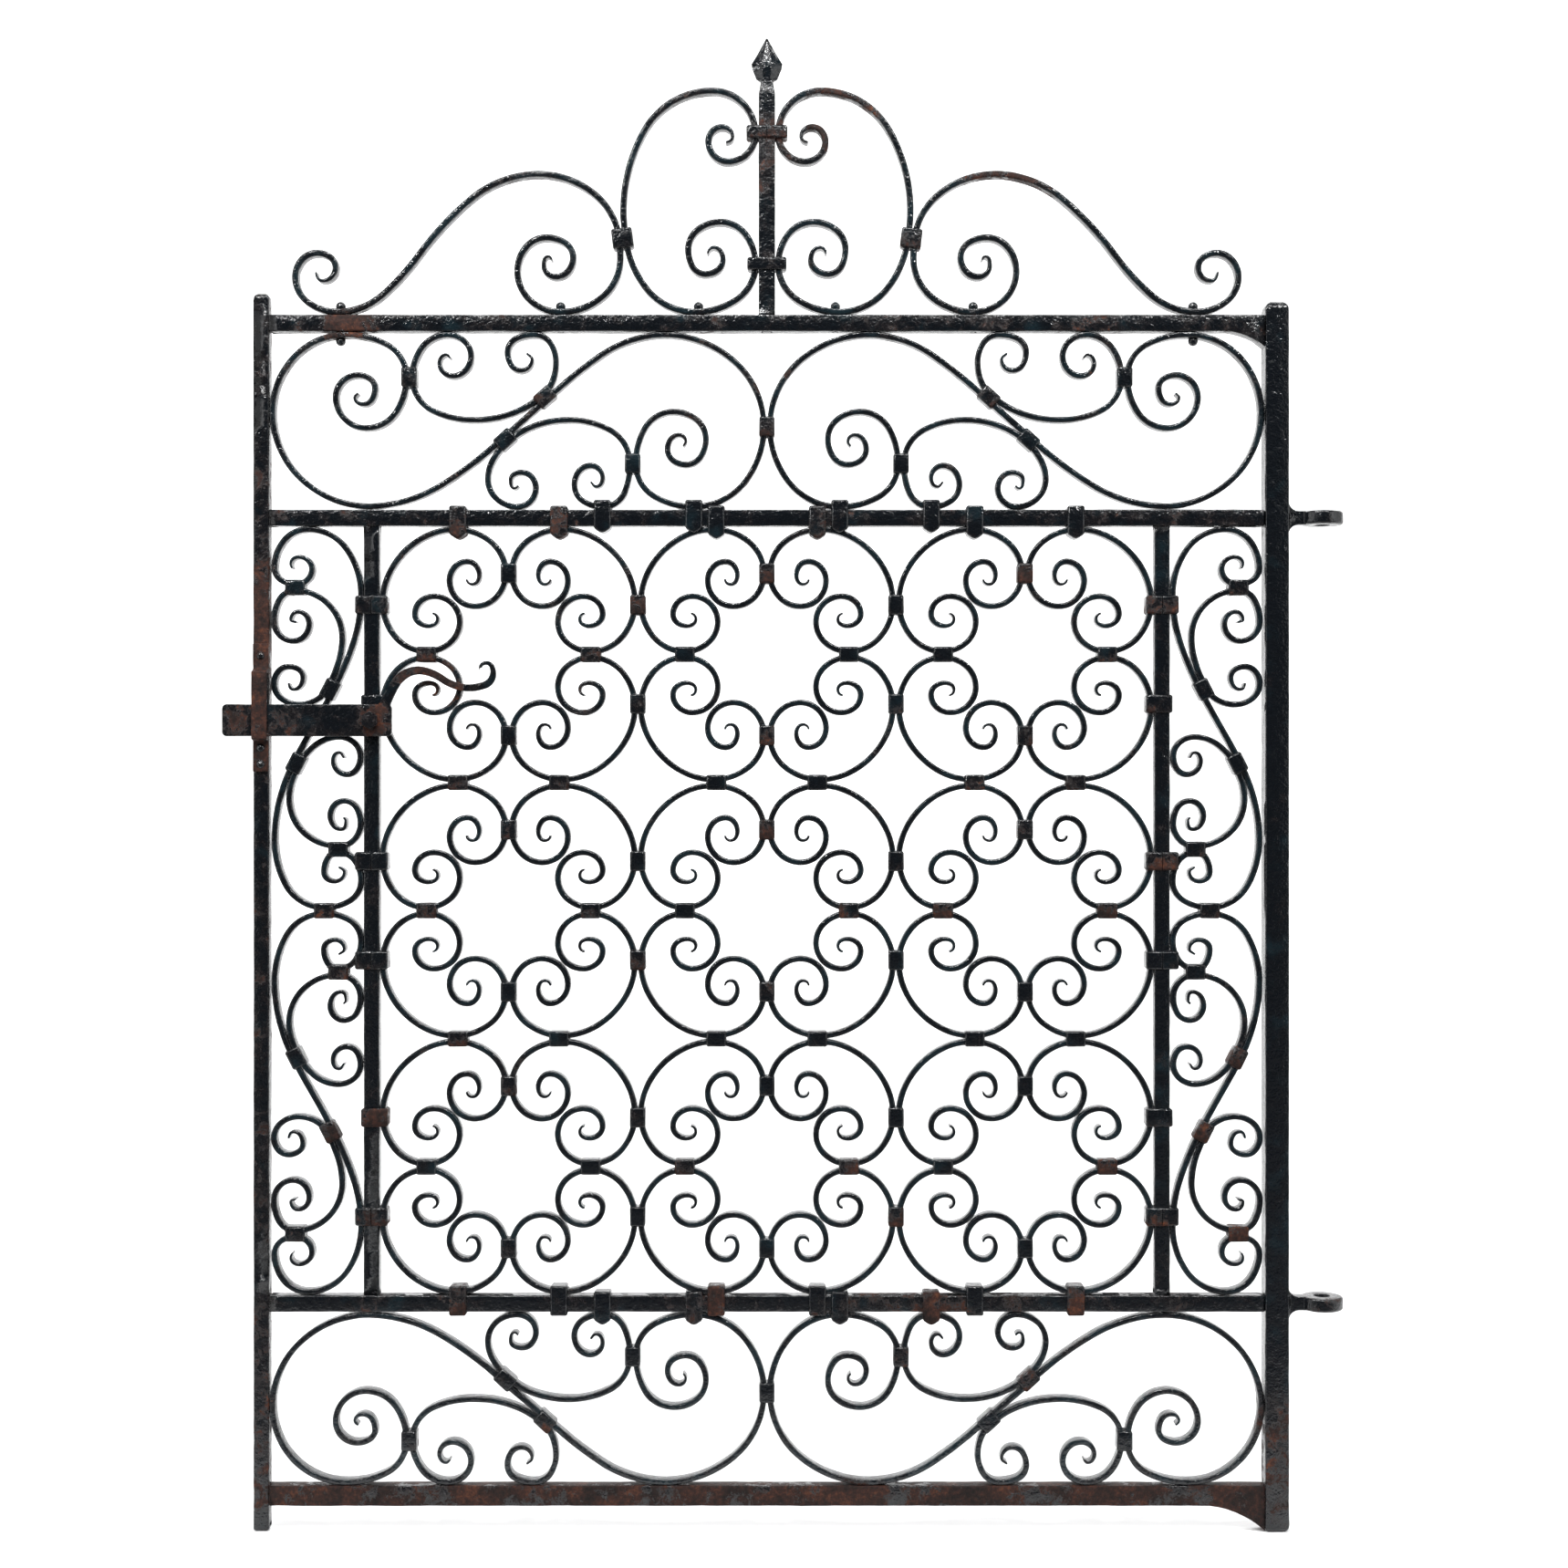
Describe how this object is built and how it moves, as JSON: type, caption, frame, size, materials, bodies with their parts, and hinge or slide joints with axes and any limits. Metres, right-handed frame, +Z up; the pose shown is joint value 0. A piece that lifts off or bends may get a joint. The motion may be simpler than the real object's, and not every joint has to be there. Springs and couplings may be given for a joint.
{
  "type": "garden gate",
  "caption": "Scrolled wrought-iron garden gate on two ring hinge eyes, with a spear-topped crest and a lift latch with a curled thumb handle.",
  "frame": {"origin": "middle of the lower hinge eye's bore", "axes": "X from the latch side to the hinge side, +Z up, front face towards -Y"},
  "size_m": [1.225, 0.0466, 1.634],
  "materials": {
    "frame_paint": "thick glossy black paint, lightly lumpy, thin rust at edges",
    "scroll_paint": "thick glossy black paint over forged flat bar",
    "collar_paint": "black paint worn to brown rust on the faces",
    "latch_paint": "glossy black paint rubbed to brown where it is handled",
    "rusty_rail": "black paint mostly gone to brown rust",
    "worn_stile": "black paint mottled with brown rust"
  },
  "bodies": {
    "gate_leaf": {"bottom_panel_inner_scroll_left": "scroll_paint", "bottom_panel_inner_scroll_right": "scroll_paint", "bottom_panel_long_scroll_left": "scroll_paint", "bottom_panel_long_scroll_right": "scroll_paint", "bottom_panel_outer_scroll_left": "scroll_paint", "bottom_panel_outer_scroll_right": "scroll_paint", "bottom_rail": "rusty_rail", "crest_inner_scroll_left": "scroll_paint", "crest_inner_scroll_right": "scroll_paint", "crest_outer_scroll_left": "scroll_paint", "crest_outer_scroll_right": "scroll_paint", "crest_rivets": "scroll_paint", "hinge_stile": "frame_paint", "keeper_rivets": "latch_paint", "latch_keeper": "latch_paint", "latch_pivot_bolt": "latch_paint", "latch_pivot_nut": "latch_paint", "latch_pivot_washer": "latch_paint", "latch_stile": "worn_stile", "lattice_collars": "collar_paint", "lattice_scrolls_row_1_column_1": "scroll_paint", "lattice_scrolls_row_1_column_2": "scroll_paint", "lattice_scrolls_row_1_column_3": "scroll_paint", "lattice_scrolls_row_2_column_1": "scroll_paint", "lattice_scrolls_row_2_column_2": "scroll_paint", "lattice_scrolls_row_2_column_3": "scroll_paint", "lattice_scrolls_row_3_column_1": "scroll_paint", "lattice_scrolls_row_3_column_2": "scroll_paint", "lattice_scrolls_row_3_column_3": "scroll_paint", "left_muntin": "frame_paint", "left_side_lower_long_scroll": "scroll_paint", "left_side_lower_muntin_scroll": "scroll_paint", "left_side_lower_stile_scroll": "scroll_paint", "left_side_upper_long_scroll": "scroll_paint", "left_side_upper_muntin_scroll": "scroll_paint", "left_side_upper_stile_scroll": "scroll_paint", "lower_hinge_eye": "frame_paint", "lower_mid_rail": "frame_paint", "muntin_collars": "collar_paint", "panel_collars": "collar_paint", "rail_collars": "collar_paint", "right_muntin": "frame_paint", "right_side_lower_long_scroll": "scroll_paint", "right_side_lower_muntin_scroll": "scroll_paint", "right_side_lower_stile_scroll": "scroll_paint", "right_side_upper_long_scroll": "scroll_paint", "right_side_upper_muntin_scroll": "scroll_paint", "right_side_upper_stile_scroll": "scroll_paint", "spear_collars": "collar_paint", "spear_upright": "frame_paint", "top_panel_inner_scroll_left": "scroll_paint", "top_panel_inner_scroll_right": "scroll_paint", "top_panel_long_scroll_left": "scroll_paint", "top_panel_long_scroll_right": "scroll_paint", "top_panel_outer_scroll_left": "scroll_paint", "top_panel_outer_scroll_right": "scroll_paint", "top_rail": "frame_paint", "upper_hinge_eye": "frame_paint", "upper_mid_rail": "frame_paint"},
    "latch": {"latch_bar": "latch_paint"}
  },
  "joints": [
    {"name": "latch_pivot", "type": "hinge", "parent": "gate_leaf", "child": "latch", "pos_m": [-1.0405, -0.0143, 0.6375], "axis": [0, 1, 0], "range_deg": [0, 14]}
  ]
}
